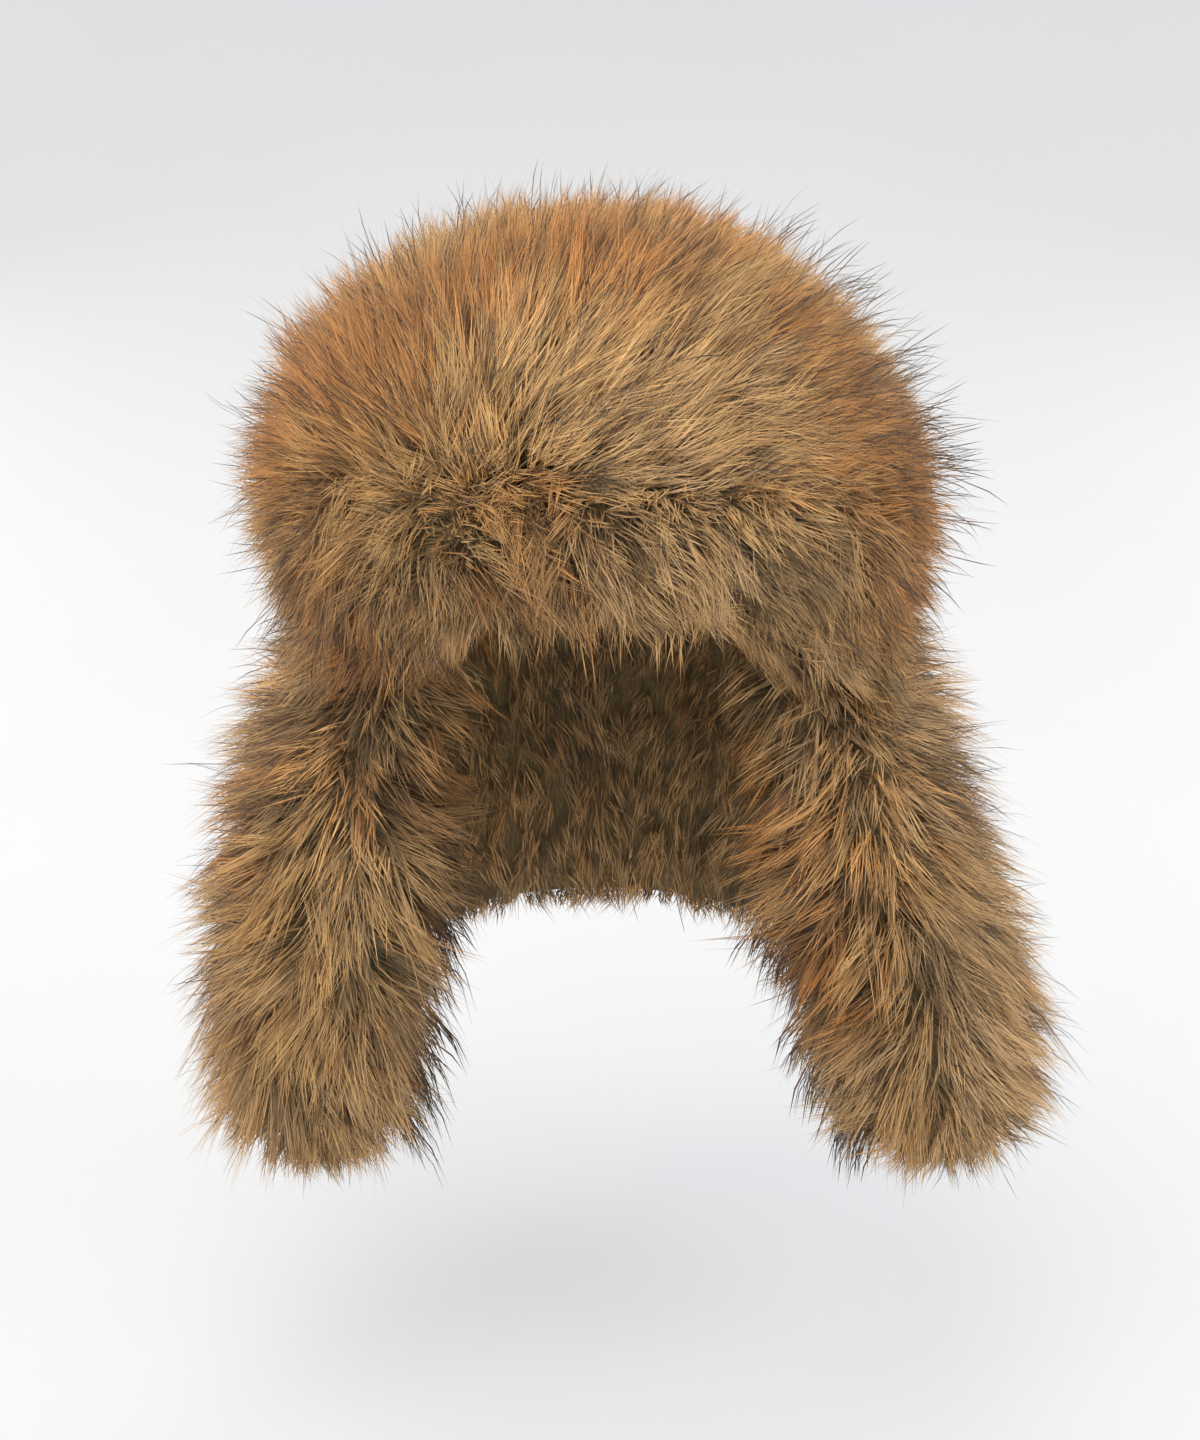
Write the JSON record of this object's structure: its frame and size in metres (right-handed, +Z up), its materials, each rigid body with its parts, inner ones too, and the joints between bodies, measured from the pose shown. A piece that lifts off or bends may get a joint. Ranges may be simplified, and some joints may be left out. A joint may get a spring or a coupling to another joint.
{
  "type": "fur trapper hat",
  "caption": "Long-pile brown fur trapper hat with a deep crown, brow flap and two wide ear flaps hanging down.",
  "frame": {"origin": "inside top of the crown, where the hat rests on its wearer", "axes": "+Z up; -Y is the way the wearer faces; +X is the right hand side of a front view"},
  "size_m": [0.3907, 0.3454, 0.4245],
  "materials": {
    "long_pile_fur": "long brushed pile, soft sheen",
    "lining_cloth": "matt woven"
  },
  "bodies": {
    "root": {"crown_lining": "lining_cloth", "crown_fur": "long_pile_fur", "brow_flap_backing": "lining_cloth", "brow_flap_fur": "long_pile_fur", "ear_flap_left_backing": "lining_cloth", "ear_flap_left_fur": "long_pile_fur", "ear_flap_right_backing": "lining_cloth", "ear_flap_right_fur": "long_pile_fur", "neck_flap_backing": "lining_cloth", "neck_flap_fur": "long_pile_fur"}
  },
  "joints": []
}
